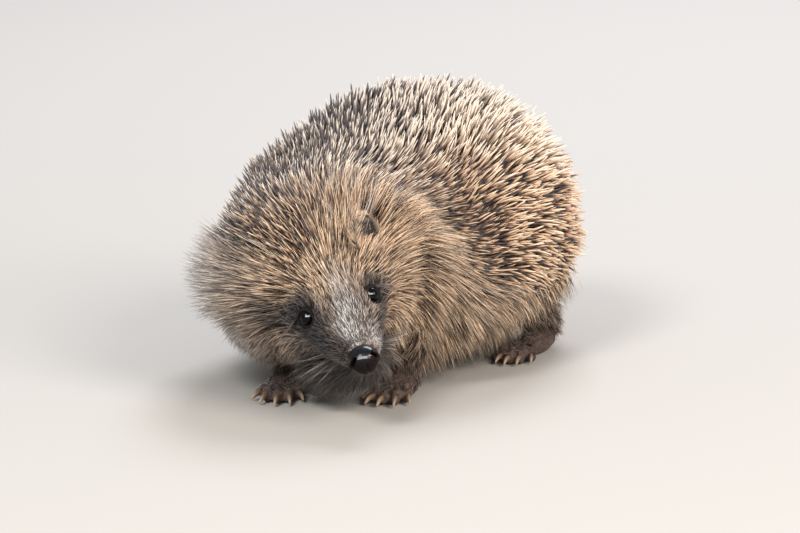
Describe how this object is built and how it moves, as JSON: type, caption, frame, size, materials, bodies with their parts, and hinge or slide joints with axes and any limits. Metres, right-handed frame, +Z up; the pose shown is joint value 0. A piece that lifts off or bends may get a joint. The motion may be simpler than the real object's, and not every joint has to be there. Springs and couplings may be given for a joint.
{
  "type": "hedgehog",
  "caption": "Life-size still model of a young European hedgehog walking with its head low and turned to its left, with spines, fringe of long fur, ears, eyes, nose and clawed feet.",
  "frame": {"origin": "on the floor, under the middle of the model's bounding box", "axes": "+Z up, -Y the way the trunk faces, +X the animal's left"},
  "size_m": [0.1236, 0.2014, 0.1026],
  "materials": {
    "spines": "banded horn spines over dense underfur",
    "face_fur": "short to long soft fur",
    "leg_fur": "short fur and bare pads",
    "ear_skin": "thin bare skin, satin",
    "nose_skin": "moist, pebbled, glossy",
    "eye": "wet, glossy",
    "claw_horn": "translucent horn, satin"
  },
  "bodies": {
    "root": {"claw_fore_left_1": "claw_horn", "claw_fore_left_2": "claw_horn", "claw_fore_left_3": "claw_horn", "claw_fore_left_4": "claw_horn", "claw_fore_left_5": "claw_horn", "claw_fore_right_1": "claw_horn", "claw_fore_right_2": "claw_horn", "claw_fore_right_3": "claw_horn", "claw_fore_right_4": "claw_horn", "claw_fore_right_5": "claw_horn", "claw_hind_left_1": "claw_horn", "claw_hind_left_2": "claw_horn", "claw_hind_left_3": "claw_horn", "claw_hind_left_4": "claw_horn", "claw_hind_left_5": "claw_horn", "claw_hind_right_1": "claw_horn", "claw_hind_right_2": "claw_horn", "claw_hind_right_3": "claw_horn", "claw_hind_right_4": "claw_horn", "claw_hind_right_5": "claw_horn", "ear_left": "ear_skin", "ear_right": "ear_skin", "eye_left": "eye", "eye_right": "eye", "fore_leg_left": "leg_fur", "fore_leg_right": "leg_fur", "head": "face_fur", "hind_leg_left": "leg_fur", "hind_leg_right": "leg_fur", "jaw": "face_fur", "neck": "spines", "nose": "nose_skin", "rump": "spines", "tail": "leg_fur", "torso": "spines"}
  },
  "joints": []
}
